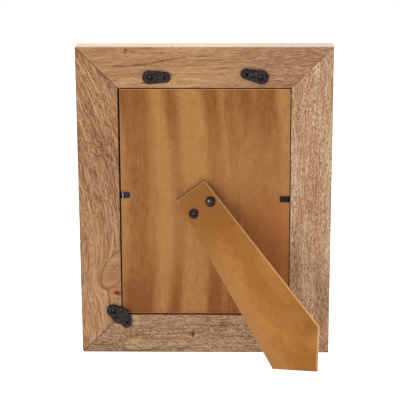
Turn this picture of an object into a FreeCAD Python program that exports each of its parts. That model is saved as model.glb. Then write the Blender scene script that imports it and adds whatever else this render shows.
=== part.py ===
import FreeCAD, Part
import math
import os

from FreeCAD import Placement, Rotation, Vector

# A wooden photo frame with an easel back, which stands on its back edge and its leg.
# Everything is first modelled with the frame lying on its face: X to the right as seen
# from behind, Y up the frame from its bottom edge, Z out of the back face, which is Z = 0.
# At the end the whole frame is stood up and leant back on its leg. Millimetres and degrees.

# Picture and frame
print_width = 127.0
print_height = 178.0
rabbet_play_across = 4.8
rabbet_play_along = 4.3
rail_back_width = 31.6
lip_width = 5.5
lip_depth = 10.2
glass_thickness = 2.0
insert_thickness = 0.8
backing_thickness = 3.0
backing_recess = 2.0
glass_gap = 0.5
glass_bevel = 0.3
front_outer_round = 2.5
front_sight_round = 2.0
back_outer_round = 0.5
back_inner_round = 0.3
corner_round = 0.4
worn_corner_round = 2.2

# Loose tongues inside the four mitres
tongue_length = 26.0
tongue_width = 14.0
tongue_thickness = 3.0
tongue_from_corner = 23.0
tongue_gap = 0.05

# Backing board in its rabbet, its left edge cut a little out of square
backing_gap_left_top = 1.2
backing_gap_left_bottom = 0.7
backing_gap_right = 0.5
backing_gap_top = 1.1
backing_gap_bottom = 0.4
backing_arris_round = 0.4

# Stance
lean = 9.5
hinge_turn = 37.0
hinge_from_middle = -5.5
hinge_height = 126.7

# Hinge of the leg
barrel_radius = 1.5
pin_radius = 0.8
pin_running_gap = 0.05
pin_fixed_gap = 0.01
pin_overhang = 0.6
leaf_thickness = 0.7
leaf_width = 14.0
leaf_corner_round = 2.0
hinge_length = 24.0
knuckle_count = 5
knuckle_gap = 0.1
hinge_seat_gap = 0.05

# Leg
leg_thickness = 4.0
leg_top_width = 26.8
leg_taper = 4.1
leg_stop_gap = 0.05
leg_arris_round = 0.9
leg_corner_round = 0.8

# Rivets through the leg, measured from its top edge
leg_rivet_from_top = 16.1
leg_rivet_spacing = 16.1
leg_rivet_shank_radius = 1.6
leg_rivet_tail_radius = 2.4
leg_rivet_tail_height = 0.5
rivet_hole_gap = 0.05
domed_head_radius = 4.05
domed_head_height = 1.9
rolled_head_radius = 3.85
rolled_rim_height = 1.15
rolled_floor_height = 0.3
rolled_bore_radius = 0.45
rolled_bore_depth = 0.9

# Shapes of the rivet heads, as shares of their radius and of their height
dome_shoulder_shares = (0.707, 0.79)
rolled_rim_share = 0.68
rolled_floor_share = 0.36
rolled_inner_shoulder_share = 0.78
rolled_outer_shoulder_shares = (0.93, 0.66)
clinched_shoulder_shares = (0.70, 0.62)
pin_chamfer_share = 0.25
dimple_floor_share = 0.5

# Rivets through the backing, measured from the hinge pin
backing_rivet_from_pin = 9.0
backing_rivet_spacing = 7.4
backing_rivet_shank_radius = 1.2
backing_rivet_head_radius = 2.6
backing_rivet_head_thickness = 0.6
backing_rivet_tail_radius = 2.1
backing_rivet_tail_height = 0.55

# Turn buttons and their screws
button_thickness = 1.9
button_standoff = 0.35
button_slide_gap = 0.05
button_arris_round = 0.7
button_boss_radius = 3.3
button_wide_radius = 5.25
button_wide_setback = 0.8
button_narrow_radius = 3.95
button_narrow_reach = 11.5
button_dimple_reach = 10.7
button_dimple_radius = 1.1
button_dimple_depth = 0.9
button_pip_radius = 1.3
top_button_above_rabbet = 8.4
left_button_from_middle = -40.8
left_button_angle = 0.0
right_button_from_middle = 42.6
right_button_angle = 167.0
corner_button_length = 23.6
corner_button_from_side = 6.5
corner_button_above_rabbet = 3.4
corner_button_angle = -38.2
corner_button_reach = 14.5
screw_shank_radius = 1.3
screw_head_radius = 2.6
screw_length = 9.0
screw_point_length = 2.0
screw_recess_depth = 0.8
screw_recess_width = 0.6
screw_recess_span = 3.2
screw_sunk = 0.25
screw_running_gap = 0.06
screw_pilot_gap = 0.01

# Outline of the corner button, from its screw, as shares of its length:
# first along the arm towards its far end, then across, to the arm's left
corner_outline_shares = (
    (-0.225, 0.004), (-0.195, 0.102), (-0.127, 0.174), (-0.025, 0.220), (0.106, 0.261), (0.229, 0.282),
    (0.347, 0.280), (0.449, 0.258), (0.559, 0.220), (0.665, 0.144), (0.742, 0.051), (0.771, -0.051),
    (0.737, -0.165), (0.669, -0.216), (0.572, -0.225), (0.475, -0.220), (0.390, -0.239), (0.331, -0.265),
    (0.267, -0.286), (0.195, -0.265), (0.110, -0.235), (0.000, -0.216), (-0.110, -0.191), (-0.191, -0.110),
)

# Flexible tabs driven into the rabbet walls over the backing
tab_thickness = 0.5
tab_width = 4.6
tab_embedded = 7.0
tab_point_length = 2.0
tab_depth = 1.6
tab_ridge_from_wall = 1.8
tab_ridge_rise = 0.6
tab_reach = 8.0
tab_bead_radius = 0.33
tab_bead_gap = 0.03
tab_rest_gap = 0.03
tab_slot_gap = 0.02
left_tab_height = 129.2
left_tab_end_round = 1.3
right_tab_height = 126.0
right_tab_end_round = 0.3

# One overrun that cutting bodies use past the faces they cut
overrun = 1.0

# Sizes that follow
rabbet_width = print_width + rabbet_play_across
rabbet_height = print_height + rabbet_play_along
frame_width = rabbet_width + 2 * rail_back_width
frame_height = rabbet_height + 2 * rail_back_width
rail_face_width = rail_back_width + lip_width
rabbet_depth = backing_recess + backing_thickness + insert_thickness + glass_thickness
frame_depth = rabbet_depth + lip_depth
insert_floor = -(rabbet_depth - glass_thickness)
backing_floor = -(backing_recess + backing_thickness)
rabbet_top = rail_back_width + rabbet_height

# The foot's lower edge lies level on the table, and the leg's top edge meets the backing there
open_angle = 2 * math.degrees(math.atan(math.tan(math.radians(lean)) / math.cos(math.radians(hinge_turn))))
hinge_lift = barrel_radius + hinge_seat_gap
pin_height = hinge_lift - backing_recess
leg_overhang = (hinge_lift * (1 + math.cos(math.radians(open_angle))) - leg_stop_gap) / math.sin(
    math.radians(open_angle)
)
leg_rivet_from_pin = leg_rivet_from_top - leg_overhang

X_AXIS = Vector(1, 0, 0)
Y_AXIS = Vector(0, 1, 0)
Z_AXIS = Vector(0, 0, 1)
ORIGIN = Vector(0, 0, 0)


def block(x_low, x_high, y_low, y_high, z_low, z_high):
    """A box between two corners."""
    return Part.makeBox(x_high - x_low, y_high - y_low, z_high - z_low, Vector(x_low, y_low, z_low))


def placed(shape, offset=ORIGIN, axis=Z_AXIS, angle=0):
    """A copy of a shape, turned about an axis through the origin and then moved."""
    copy = shape.copy()
    copy.Placement = Placement(offset, Rotation(axis, angle)).multiply(copy.Placement)
    return copy


def rounded_wire(corners):
    """A closed wire through (point, radius) corners, each rounded by an arc where its radius is not 0."""
    starts, ends, mids = [], [], []
    count = len(corners)
    for index, (point, radius) in enumerate(corners):
        back = (corners[index - 1][0] - point).normalize()
        ahead = (corners[(index + 1) % count][0] - point).normalize()
        half = back.getAngle(ahead) / 2
        setback = radius / math.tan(half)
        bisector = (back + ahead).normalize()
        starts.append(point + back * setback)
        ends.append(point + ahead * setback)
        mids.append(point + bisector * (radius / math.sin(half) - radius))
    edges = []
    for index, (point, radius) in enumerate(corners):
        if radius > 0:
            edges.append(Part.Arc(starts[index], mids[index], ends[index]).toShape())
        edges.append(Part.LineSegment(ends[index], starts[(index + 1) % count]).toShape())
    return Part.Wire(edges)


def plate(corners, z_low, z_high):
    """A flat plate over a rounded outline in the XY plane, between two heights."""
    lowered = [(Vector(x, y, z_low), radius) for (x, y), radius in corners]
    return Part.Face(rounded_wire(lowered)).extrude(Z_AXIS * (z_high - z_low))


def edges_at_height(shape, height):
    """The edges that lie wholly in the plane at one height."""
    tolerance = overrun / 1000
    found = []
    for edge in shape.Edges:
        box = edge.BoundBox
        if abs(box.ZMin - height) < tolerance and abs(box.ZMax - height) < tolerance:
            found.append(edge)
    return found


def turned(profile):
    """A solid of revolution about Z from a closed profile of points in the XZ plane."""
    wire = Part.makePolygon([Vector(x, 0, z) for x, z in profile + profile[:1]])
    return Part.Face(wire).revolve(ORIGIN, Z_AXIS, 360)


def turned_curve(edges):
    """A solid of revolution about Z from edges that close a profile in the XZ plane."""
    return Part.Face(Part.Wire(edges)).revolve(ORIGIN, Z_AXIS, 360)


def line(start, end):
    """A straight edge between two points of the XZ plane."""
    return Part.LineSegment(Vector(start[0], 0, start[1]), Vector(end[0], 0, end[1])).toShape()


def arc(start, middle, end):
    """An arc through three points of the XZ plane."""
    points = [Vector(x, 0, z) for x, z in (start, middle, end)]
    return Part.Arc(*points).toShape()


# The four mitred mouldings


def moulding(length):
    """One rail: its outer edge along X at Y = 0, its rabbet and lip towards +Y, its ends mitred."""
    section = rounded_wire(
        [
            (Vector(-length / 2, 0, 0), back_outer_round),
            (Vector(-length / 2, 0, -frame_depth), front_outer_round),
            (Vector(-length / 2, rail_face_width, -frame_depth), front_sight_round),
            (Vector(-length / 2, rail_face_width, -rabbet_depth), 0),
            (Vector(-length / 2, rail_back_width, -rabbet_depth), 0),
            (Vector(-length / 2, rail_back_width, 0), back_inner_round),
        ]
    )
    bar = Part.Face(section).extrude(X_AXIS * length)
    mitred_outline = [
        ((-length / 2 - overrun, -overrun), 0),
        ((length / 2 + overrun, -overrun), 0),
        ((length / 2 - rail_face_width - overrun, rail_face_width + overrun), 0),
        ((-length / 2 + rail_face_width + overrun, rail_face_width + overrun), 0),
    ]
    return bar.common(plate(mitred_outline, -frame_depth - overrun, overrun))


def frame_outline():
    """The frame's outer outline: three crisp corners and the worn one at the bottom left."""
    half = frame_width / 2
    corners = [
        ((-half, 0), worn_corner_round),
        ((half, 0), corner_round),
        ((half, frame_height), corner_round),
        ((-half, frame_height), corner_round),
    ]
    return plate(corners, -frame_depth - overrun, overrun)


def tongue(gap):
    """A mitre tongue lying along X, with a gap all round for its slot."""
    half_length = tongue_length / 2 + gap
    half_width = tongue_width / 2 + gap
    half_height = tongue_thickness / 2 + gap
    return block(-half_length, half_length, -half_width, half_width, -half_height, half_height)


def at_mitre(shape, side, end):
    """Lays a tongue across a mitre: side is -1 left or 1 right, end is 0 bottom or 1 top."""
    inward = tongue_from_corner / math.sqrt(2)
    corner = Vector(side * (frame_width / 2 - inward), inward, -frame_depth / 2)
    if end:
        corner.y = frame_height - inward
    lies_up = (side > 0) == bool(end)
    return placed(shape, corner, Z_AXIS, 45 if lies_up else -45)


# The hinge under the leg: each leaf is drawn on the hinge pin, which lies along X


def knuckle_span(index):
    """The two ends along the pin of one knuckle."""
    pitch = hinge_length / knuckle_count
    start = -hinge_length / 2 + index * pitch
    return start + knuckle_gap / 2, start + pitch - knuckle_gap / 2


def hinge_leaf(first_knuckle, bore_radius, rivet_spacing, rivet_from_pin, rivet_radius):
    """A leaf above the pin's axis, reaching towards -Y, with every second knuckle rolled on the pin."""
    half = hinge_length / 2
    outline = [
        ((-half, 0), 0),
        ((-half, -leaf_width), leaf_corner_round),
        ((half, -leaf_width), leaf_corner_round),
        ((half, 0), 0),
    ]
    leaf = plate(outline, hinge_lift - leaf_thickness, hinge_lift)
    notch_depth = barrel_radius + knuckle_gap
    for index in range(knuckle_count):
        low, high = knuckle_span(index)
        if index % 2 == first_knuckle:
            roll = Part.makeCylinder(barrel_radius, high - low, Vector(low, 0, 0), X_AXIS)
            cheek = block(low, high, -barrel_radius, 0, 0, hinge_lift)
            web = block(low, high, -barrel_radius, 0, barrel_radius - leaf_thickness, hinge_lift)
            leaf = leaf.fuse(roll).fuse(web.common(cheek))
        else:
            leaf = leaf.cut(
                block(low - knuckle_gap, high + knuckle_gap, -notch_depth, overrun, 0, hinge_lift + overrun)
            )
    leaf = leaf.cut(Part.makeCylinder(bore_radius, 2 * hinge_length, Vector(-hinge_length, 0, 0), X_AXIS))
    for side in (-1, 1):
        centre = Vector(side * rivet_spacing / 2, -rivet_from_pin, 0)
        leaf = leaf.cut(Part.makeCylinder(rivet_radius, hinge_lift + overrun, centre, Z_AXIS))
    return leaf.removeSplitter()


def hinge_pin():
    """The pin through all knuckles, with its ends chamfered."""
    length = hinge_length + 2 * pin_overhang
    pin = Part.makeCylinder(pin_radius, length, Vector(-length / 2, 0, 0), X_AXIS)
    rims = [edge for edge in pin.Edges if edge.Closed and isinstance(edge.Curve, Part.Circle)]
    return pin.makeChamfer(pin_radius * pin_chamfer_share, rims)


# The leg: its inner face lies hinge_lift above the pin, its top edge leg_overhang beyond it


def leg_tip_distance():
    """How far down the leg from the pin the foot's point lies, so that it stands on the table."""
    lean_r = math.radians(lean)
    open_r = math.radians(open_angle)
    turn_r = math.radians(hinge_turn)
    spread = math.tan(math.radians(leg_taper))
    offset_share = foot_offset_share()
    half_top = leg_top_width / 2 + spread * leg_overhang
    height = math.cos(lean_r) * (hinge_height + hinge_lift * math.cos(turn_r) * math.sin(open_r))
    height -= math.sin(lean_r) * (pin_height + hinge_lift * math.cos(open_r))
    sideways = math.cos(lean_r) * math.sin(turn_r)
    drop = math.cos(lean_r) * math.cos(turn_r) * math.cos(open_r) + math.sin(lean_r) * math.sin(open_r)
    return (height + sideways * offset_share * half_top) / (drop - sideways * offset_share * spread)


def foot_offset_share():
    """The point's offset from the leg's middle line, as a share of the half width there."""
    turn_r = math.radians(hinge_turn)
    spread = math.tan(math.radians(leg_taper))
    side_rate = math.sin(turn_r) + spread * math.cos(turn_r)
    bottom_rate = math.cos(turn_r) + spread * math.sin(turn_r)
    return (bottom_rate - side_rate) / (bottom_rate + side_rate)


def leg_corners():
    """The leg's outline on its pin: a tapered blade with a square foot, its two flats of one length."""
    turn_r = math.radians(hinge_turn)
    spread = math.tan(math.radians(leg_taper))
    tip_distance = leg_tip_distance()
    half_foot = leg_top_width / 2 + spread * (leg_overhang + tip_distance)
    tip_offset = foot_offset_share() * half_foot
    flat = (half_foot - tip_offset) / (math.sin(turn_r) + spread * math.cos(turn_r))
    tip = (tip_offset, -tip_distance)
    side_heel = (tip_offset + flat * math.sin(turn_r), -tip_distance + flat * math.cos(turn_r))
    bottom_heel = (tip_offset - flat * math.cos(turn_r), -tip_distance + flat * math.sin(turn_r))
    return [
        ((-leg_top_width / 2, leg_overhang), leg_corner_round),
        (bottom_heel, 0),
        (tip, 0),
        (side_heel, leg_corner_round),
        ((leg_top_width / 2, leg_overhang), leg_corner_round),
    ]


def easel_leg():
    """The leg board with its outer arris eased and two rivet holes."""
    outer_face = hinge_lift + leg_thickness
    leg = plate(leg_corners(), hinge_lift, outer_face)
    leg = leg.makeFillet(leg_arris_round, edges_at_height(leg, outer_face))
    for side in (-1, 1):
        hole = Part.makeCylinder(
            leg_rivet_shank_radius + rivet_hole_gap,
            leg_thickness + 2 * overrun,
            Vector(side * leg_rivet_spacing / 2, -leg_rivet_from_pin, hinge_lift - overrun),
            Z_AXIS,
        )
        leg = leg.cut(hole)
    return leg


def leg_rivet_stem():
    """The points of a leg rivet's shank and clinched tail, from its head's edge down to the axis."""
    shank = leg_thickness + leaf_thickness
    return [
        (leg_rivet_shank_radius, 0),
        (leg_rivet_shank_radius, -shank),
        (leg_rivet_tail_radius, -shank),
        (leg_rivet_tail_radius - leg_rivet_tail_height / 2, -shank - leg_rivet_tail_height),
        (0, -shank - leg_rivet_tail_height),
    ]


def stem_edges(points, head_radius, axis_top):
    """Straight edges from a head's outer rim, under the head, down the stem and back up the axis."""
    path = [(head_radius, 0)] + points + [(0, axis_top)]
    return [line(start, end) for start, end in zip(path, path[1:])]


def domed_leg_rivet():
    """A rivet with a high round head."""
    out_share, up_share = dome_shoulder_shares
    shoulder = (domed_head_radius * out_share, domed_head_height * up_share)
    head = arc((0, domed_head_height), shoulder, (domed_head_radius, 0))
    return turned_curve([head] + stem_edges(leg_rivet_stem(), domed_head_radius, domed_head_height))


def rolled_leg_rivet():
    """A tubular rivet, its head rolled over into a rim round a sunk floor with a small bore."""
    rim_radius = rolled_head_radius * rolled_rim_share
    floor_radius = rolled_head_radius * rolled_floor_share
    bore_bottom = rolled_floor_height - rolled_bore_depth
    inner_shoulder = ((rim_radius + floor_radius) / 2, rolled_rim_height * rolled_inner_shoulder_share)
    out_share, up_share = rolled_outer_shoulder_shares
    outer_shoulder = (rolled_head_radius * out_share, rolled_rim_height * up_share)
    edges = [
        line((0, bore_bottom), (rolled_bore_radius, bore_bottom)),
        line((rolled_bore_radius, bore_bottom), (rolled_bore_radius, rolled_floor_height)),
        line((rolled_bore_radius, rolled_floor_height), (floor_radius, rolled_floor_height)),
        arc((floor_radius, rolled_floor_height), inner_shoulder, (rim_radius, rolled_rim_height)),
        arc((rim_radius, rolled_rim_height), outer_shoulder, (rolled_head_radius, 0)),
    ]
    return turned_curve(edges + stem_edges(leg_rivet_stem(), rolled_head_radius, bore_bottom))


# Backing board


def hinge_placement(angle):
    """Where the hinge's own axes lie on the frame, with the leg opened by an angle."""
    at_pin = Placement(Vector(hinge_from_middle, hinge_height, pin_height), Rotation(Z_AXIS, hinge_turn))
    return at_pin.multiply(Placement(ORIGIN, Rotation(X_AXIS, -angle)))


def backing_rivet_centres():
    """The two rivets' points on the backing's outer face."""
    centres = []
    for side in (-1, 1):
        on_pin = Vector(side * backing_rivet_spacing / 2, -backing_rivet_from_pin, -hinge_lift)
        centres.append(hinge_placement(0).multVec(on_pin))
    return centres


def backing_board():
    """The backing board with eased outer arrises, two rivet holes and a sunk seat for each head."""
    half = rabbet_width / 2
    low = rail_back_width + backing_gap_bottom
    high = rabbet_top - backing_gap_top
    outline = [
        ((-half + backing_gap_left_bottom, low), backing_arris_round),
        ((half - backing_gap_right, low), backing_arris_round),
        ((half - backing_gap_right, high), backing_arris_round),
        ((-half + backing_gap_left_top, high), backing_arris_round),
    ]
    board = plate(outline, backing_floor, -backing_recess)
    board = board.makeFillet(backing_arris_round, edges_at_height(board, -backing_recess))
    for centre in backing_rivet_centres():
        bottom = Vector(centre.x, centre.y, backing_floor - overrun)
        hole_radius = backing_rivet_shank_radius + rivet_hole_gap
        seat_radius = backing_rivet_head_radius + rivet_hole_gap
        board = board.cut(Part.makeCylinder(hole_radius, backing_thickness + 2 * overrun, bottom))
        board = board.cut(Part.makeCylinder(seat_radius, backing_rivet_head_thickness + overrun, bottom))
    return board


def backing_rivet():
    """A flat-headed rivet from inside the board, its origin on the board's outer face."""
    shank_top = leaf_thickness
    head_top = -backing_thickness + backing_rivet_head_thickness
    crown = (0, shank_top + backing_rivet_tail_height)
    rim = (backing_rivet_tail_radius, shank_top)
    out_share, up_share = clinched_shoulder_shares
    shoulder = (backing_rivet_tail_radius * out_share, shank_top + backing_rivet_tail_height * up_share)
    path = [
        rim,
        (backing_rivet_shank_radius, shank_top),
        (backing_rivet_shank_radius, head_top),
        (backing_rivet_head_radius, head_top),
        (backing_rivet_head_radius, -backing_thickness),
        (0, -backing_thickness),
        crown,
    ]
    straight = [line(start, end) for start, end in zip(path, path[1:])]
    return turned_curve([arc(crown, shoulder, rim)] + straight)


# Turn buttons, drawn on their screw with the arm along X and the wood at Z = 0

button_top = button_standoff + button_thickness
screw_head_top = button_top - screw_sunk
screw_head_height = screw_head_radius - screw_shank_radius


def teardrop_wire():
    """The outline of the top buttons: a wide and a narrow round end joined by tangents."""
    between = button_wide_setback + button_narrow_reach
    tilt = math.acos((button_wide_radius - button_narrow_radius) / between)
    along, across = math.cos(tilt), math.sin(tilt)
    wide_x = button_wide_radius * along - button_wide_setback
    wide = [Vector(wide_x, side * button_wide_radius * across, 0) for side in (1, -1)]
    narrow_x = button_narrow_reach + button_narrow_radius * along
    narrow = [Vector(narrow_x, side * button_narrow_radius * across, 0) for side in (1, -1)]
    heel = Vector(-button_wide_setback - button_wide_radius, 0, 0)
    toe = Vector(button_narrow_reach + button_narrow_radius, 0, 0)
    return Part.Wire(
        [
            Part.Arc(wide[0], heel, wide[1]).toShape(),
            Part.LineSegment(wide[1], narrow[1]).toShape(),
            Part.Arc(narrow[1], toe, narrow[0]).toShape(),
            Part.LineSegment(narrow[0], wide[0]).toShape(),
        ]
    )


def corner_button_wire():
    """The lobed outline of the corner button as one smooth closed curve."""
    points = [
        Vector(along * corner_button_length, across * corner_button_length, 0)
        for along, across in corner_outline_shares
    ]
    curve = Part.BSplineCurve()
    curve.interpolate(Points=points, PeriodicFlag=True)
    return Part.Wire([curve.toShape()])


def turn_button(wire, reach):
    """A cast button: eased top, countersunk hole, boss under the screw, dimple and pip at the tip."""
    body = Part.Face(wire).extrude(Z_AXIS * button_thickness)
    body = placed(body, Z_AXIS * button_standoff)
    body = body.makeFillet(button_arris_round, edges_at_height(body, button_top))
    lift = button_standoff - button_slide_gap
    foot = Vector(0, 0, button_slide_gap)
    tip = Vector(reach, 0, button_slide_gap)
    body = body.fuse(Part.makeCylinder(button_boss_radius, lift, foot))
    body = body.fuse(Part.makeCylinder(button_pip_radius, lift, tip))
    dimple_floor = Vector(reach, 0, button_top - button_dimple_depth)
    floor_radius = button_dimple_radius * dimple_floor_share
    dimple = Part.makeCone(floor_radius, button_dimple_radius, button_dimple_depth, dimple_floor)
    seat_radius = screw_head_radius + screw_running_gap
    hole_radius = screw_shank_radius + screw_running_gap
    seat_floor = Vector(0, 0, screw_head_top - screw_head_height)
    seat = Part.makeCone(hole_radius, seat_radius, screw_head_height, seat_floor)
    mouth = Part.makeCylinder(seat_radius, button_thickness, Vector(0, 0, screw_head_top))
    hole = Part.makeCylinder(hole_radius, button_top + 2 * overrun, Vector(0, 0, -overrun))
    return body.cut(dimple).cut(seat).cut(mouth).cut(hole)


def button_screw():
    """A countersunk wood screw with a cross recess, its point down in the wood."""
    point_top = screw_head_top - screw_length + screw_point_length
    body = turned(
        [
            (0, screw_head_top),
            (screw_head_radius, screw_head_top),
            (screw_shank_radius, screw_head_top - screw_head_height),
            (screw_shank_radius, point_top),
            (0, screw_head_top - screw_length),
        ]
    )
    half_span = screw_recess_span / 2
    half_width = screw_recess_width / 2
    floor = screw_head_top - screw_recess_depth
    slot = block(-half_span, half_span, -half_width, half_width, floor, screw_head_top + overrun)
    return body.cut(slot.fuse(placed(slot, ORIGIN, Z_AXIS, 90)))


def screw_pilot():
    """The hole that the screw's shank and point fill in the wood."""
    radius = screw_shank_radius + screw_pilot_gap
    point_top = screw_head_top - screw_length + screw_point_length
    bottom = screw_head_top - screw_length - screw_pilot_gap
    return turned([(0, overrun), (radius, overrun), (radius, point_top), (0, bottom)])


# Flexible tabs, drawn with the rabbet wall at X = 0, the opening towards +X and the back face at Z = 0

tab_centre = -tab_depth
ridge_centre = tab_centre + tab_ridge_rise
tab_tip_centre = -backing_recess + tab_rest_gap + tab_thickness / 2


def strip(start, end):
    """A flat strip of the tab's thickness and width along a straight centre line in the XZ plane."""
    run = Vector(end[0] - start[0], 0, end[1] - start[1])
    length = run.Length
    half = tab_width / 2
    flat = block(0, length, -half, half, -tab_thickness / 2, tab_thickness / 2)
    climb = math.degrees(math.atan2(run.z, run.x))
    return placed(flat, Vector(start[0], 0, start[1]), Y_AXIS, -climb)


def ridge_rod(radius):
    """A rod along the tab's ridge, across its width."""
    half = tab_width / 2
    start = Vector(tab_ridge_from_wall, -half - overrun, ridge_centre)
    return Part.makeCylinder(radius, tab_width + 2 * overrun, start, Y_AXIS)


def tab_anchor():
    """The driven end of the tab: a pointed strip in the wood and its rise up to the ridge."""
    half = tab_width / 2
    low = tab_centre - tab_thickness / 2
    high = tab_centre + tab_thickness / 2
    spike = [
        ((-tab_embedded, 0), 0),
        ((-tab_embedded + tab_point_length, -half), 0),
        ((0, -half), 0),
        ((0, half), 0),
        ((-tab_embedded + tab_point_length, half), 0),
    ]
    rise = strip((0, tab_centre), (tab_ridge_from_wall, ridge_centre))
    rise = rise.cut(block(-overrun, 0, -half - overrun, half + overrun, low - overrun, high + overrun))
    anchor = plate(spike, low, high).fuse(rise)
    return anchor.cut(ridge_rod(tab_bead_radius + tab_bead_gap)).removeSplitter()


def tab_blade(end_round):
    """The bendable end of the tab, from its ridge down to the backing, with a rolled root."""
    half = tab_width / 2
    ridge = (tab_ridge_from_wall, ridge_centre)
    blade = strip(ridge, (tab_reach, tab_tip_centre))
    outline = [
        ((0, -half), 0),
        ((tab_reach, -half), end_round),
        ((tab_reach, half), end_round),
        ((0, half), 0),
    ]
    trim = plate(outline, -backing_recess - overrun, overrun)
    bead = ridge_rod(tab_bead_radius)
    return blade.fuse(bead).common(trim).removeSplitter()


def tab_slot():
    """The slot that the driven end fills in the rabbet wall."""
    half = tab_width / 2 + tab_slot_gap
    low = tab_centre - tab_thickness / 2 - tab_slot_gap
    high = tab_centre + tab_thickness / 2 + tab_slot_gap
    return block(-tab_embedded - tab_slot_gap, overrun, -half, half, low, high)


def on_left_wall(shape):
    """Puts a tab piece on the left rabbet wall."""
    return placed(shape, Vector(-rabbet_width / 2, left_tab_height, 0))


def on_right_wall(shape):
    """Puts a tab piece on the right rabbet wall."""
    return placed(shape, Vector(rabbet_width / 2, right_tab_height, 0), Z_AXIS, 180)


# Assembly, still lying on its face

button_places = {
    "top_left": (
        Vector(left_button_from_middle, rabbet_top + top_button_above_rabbet, 0),
        left_button_angle,
    ),
    "top_right": (
        Vector(right_button_from_middle, rabbet_top + top_button_above_rabbet, 0),
        right_button_angle,
    ),
    "corner": (
        Vector(
            -rabbet_width / 2 - corner_button_from_side,
            rail_back_width + corner_button_above_rabbet,
            0,
        ),
        corner_button_angle,
    ),
}


def at_button(shape, name):
    """Puts a shape on a button's screw axis, turned with its arm."""
    centre, angle = button_places[name]
    return placed(shape, centre, Z_AXIS, angle)


def wooden_frame():
    """The four mouldings with their tongue slots, pilot holes and tab slots."""
    middle = frame_height / 2
    half = frame_width / 2
    rails = {
        "bottom_rail": placed(moulding(frame_width)),
        "top_rail": placed(moulding(frame_width), Vector(0, frame_height, 0), Z_AXIS, 180),
        "left_stile": placed(moulding(frame_height), Vector(-half, middle, 0), Z_AXIS, -90),
        "right_stile": placed(moulding(frame_height), Vector(half, middle, 0), Z_AXIS, 90),
    }
    mitres = [(side, end) for side in (-1, 1) for end in (0, 1)]
    slots = Part.makeCompound([at_mitre(tongue(tongue_gap), side, end) for side, end in mitres])
    outline = frame_outline()
    for name in rails:
        rails[name] = rails[name].common(outline).cut(slots)
    rails["top_rail"] = rails["top_rail"].cut(at_button(screw_pilot(), "top_left"))
    rails["top_rail"] = rails["top_rail"].cut(at_button(screw_pilot(), "top_right"))
    rails["left_stile"] = rails["left_stile"].cut(at_button(screw_pilot(), "corner"))
    rails["left_stile"] = rails["left_stile"].cut(on_left_wall(tab_slot()))
    rails["right_stile"] = rails["right_stile"].cut(on_right_wall(tab_slot()))
    return rails


def mitre_tongues():
    """The four loose tongues."""
    names = {(-1, 0): "bottom_left", (-1, 1): "top_left", (1, 0): "bottom_right", (1, 1): "top_right"}
    return {f"mitre_tongue_{name}": at_mitre(tongue(0), *place) for place, name in names.items()}


def glass_pane():
    """The pane on the lip, with its edges dulled all round."""
    half = rabbet_width / 2 - glass_gap
    low = rail_back_width + glass_gap
    pane = block(-half, half, low, rabbet_top - glass_gap, -rabbet_depth, insert_floor)
    return pane.makeChamfer(glass_bevel, pane.Edges)


def photo_insert():
    """The blank card behind the glass."""
    middle = frame_height / 2
    top = insert_floor + insert_thickness
    half_width, half_height = print_width / 2, print_height / 2
    return block(-half_width, half_width, middle - half_height, middle + half_height, insert_floor, top)


def hinge_and_leg():
    """The easel leg with its hinge, the leg opened to its stop."""
    shut = hinge_placement(0)
    opened = hinge_placement(open_angle)
    half_turn = Placement(ORIGIN, Rotation(Y_AXIS, 180))
    fixed_leaf = hinge_leaf(
        0,
        pin_radius + pin_fixed_gap,
        backing_rivet_spacing,
        backing_rivet_from_pin,
        backing_rivet_shank_radius + rivet_hole_gap,
    )
    moving_leaf = hinge_leaf(
        1,
        pin_radius + pin_running_gap,
        leg_rivet_spacing,
        leg_rivet_from_pin,
        leg_rivet_shank_radius + rivet_hole_gap,
    )
    outer_face = hinge_lift + leg_thickness
    left_rivet = Vector(-leg_rivet_spacing / 2, -leg_rivet_from_pin, outer_face)
    right_rivet = Vector(leg_rivet_spacing / 2, -leg_rivet_from_pin, outer_face)
    pieces = {
        "hinge_leaf_backing": (fixed_leaf, shut.multiply(half_turn)),
        "hinge_pin": (hinge_pin(), shut),
        "hinge_leaf_leg": (moving_leaf, opened),
        "easel_leg": (easel_leg(), opened),
        "leg_rivet_rolled": (placed(rolled_leg_rivet(), left_rivet), opened),
        "leg_rivet_domed": (placed(domed_leg_rivet(), right_rivet), opened),
    }
    shapes = {}
    for name, (shape, placement) in pieces.items():
        copy = shape.copy()
        copy.Placement = placement.multiply(copy.Placement)
        shapes[name] = copy
    for name, centre in zip(("left", "right"), backing_rivet_centres()):
        shapes[f"backing_rivet_{name}"] = placed(backing_rivet(), centre)
    return shapes


def buttons_and_screws():
    """The three turn buttons, each on its own screw."""
    teardrop = turn_button(teardrop_wire(), button_dimple_reach)
    lobed = turn_button(corner_button_wire(), corner_button_reach)
    bodies = {"top_left": teardrop, "top_right": teardrop, "corner": lobed}
    shapes = {}
    for name, body in bodies.items():
        shapes[f"turn_button_{name}"] = at_button(body, name)
        shapes[f"button_screw_{name}"] = at_button(button_screw(), name)
    return shapes


def flexible_tabs():
    """The two tabs over the backing, each as its driven anchor and its bendable blade."""
    return {
        "tab_anchor_left": on_left_wall(tab_anchor()),
        "tab_blade_left": on_left_wall(tab_blade(left_tab_end_round)),
        "tab_anchor_right": on_right_wall(tab_anchor()),
        "tab_blade_right": on_right_wall(tab_blade(right_tab_end_round)),
    }


def lying_parts():
    """Every piece by its name, with the frame lying on its face."""
    parts = {}
    parts.update(wooden_frame())
    parts.update(mitre_tongues())
    parts["glass_pane"] = glass_pane()
    parts["photo_insert"] = photo_insert()
    parts["backing_board"] = backing_board()
    parts.update(hinge_and_leg())
    parts.update(buttons_and_screws())
    parts.update(flexible_tabs())
    return parts


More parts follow.
